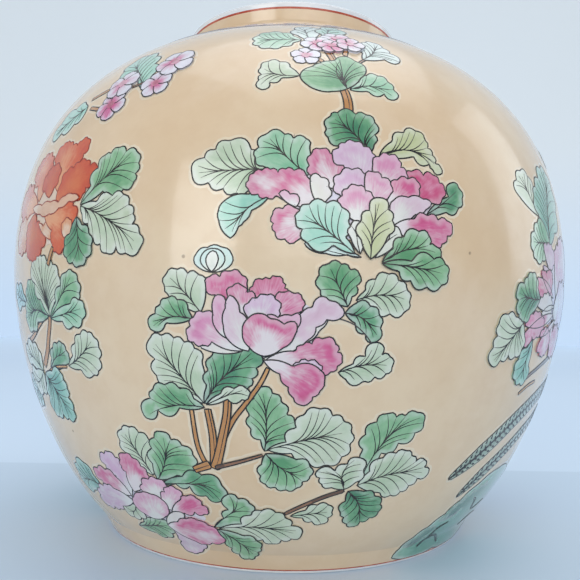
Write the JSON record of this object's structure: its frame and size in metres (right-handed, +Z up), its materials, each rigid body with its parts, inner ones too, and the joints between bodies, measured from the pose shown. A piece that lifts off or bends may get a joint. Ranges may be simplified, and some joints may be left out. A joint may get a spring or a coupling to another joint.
{
  "type": "ginger jar",
  "caption": "Globular porcelain jar with a short rolled neck and open mouth, peach enamel ground and painted flowers, standing on a turned foot ring.",
  "frame": {"origin": "centre of the standing face, on the jar's axis", "axes": "+Z up along the jar's axis; -Y towards the painted front"},
  "size_m": [0.25, 0.25, 0.2268],
  "materials": {
    "porcelain": "fired white clay",
    "bare_porcelain": "unglazed, slightly grey",
    "slip": "fired slip",
    "white_glaze": "clear gloss over white",
    "peach_enamel": "glossy enamel ground",
    "iron_red_enamel": "thin overglaze line"
  },
  "bodies": {
    "root": {"lower_bowl": "porcelain", "upper_bowl": "porcelain", "neck_ring": "porcelain", "foot_ring": "bare_porcelain", "belly_lute": "slip", "neck_lute": "slip", "inner_glaze": "white_glaze", "base_glaze": "white_glaze", "lip_glaze": "white_glaze", "foot_glaze": "white_glaze", "ground_enamel": "peach_enamel", "rim_line": "iron_red_enamel", "foot_line": "iron_red_enamel"}
  },
  "joints": []
}
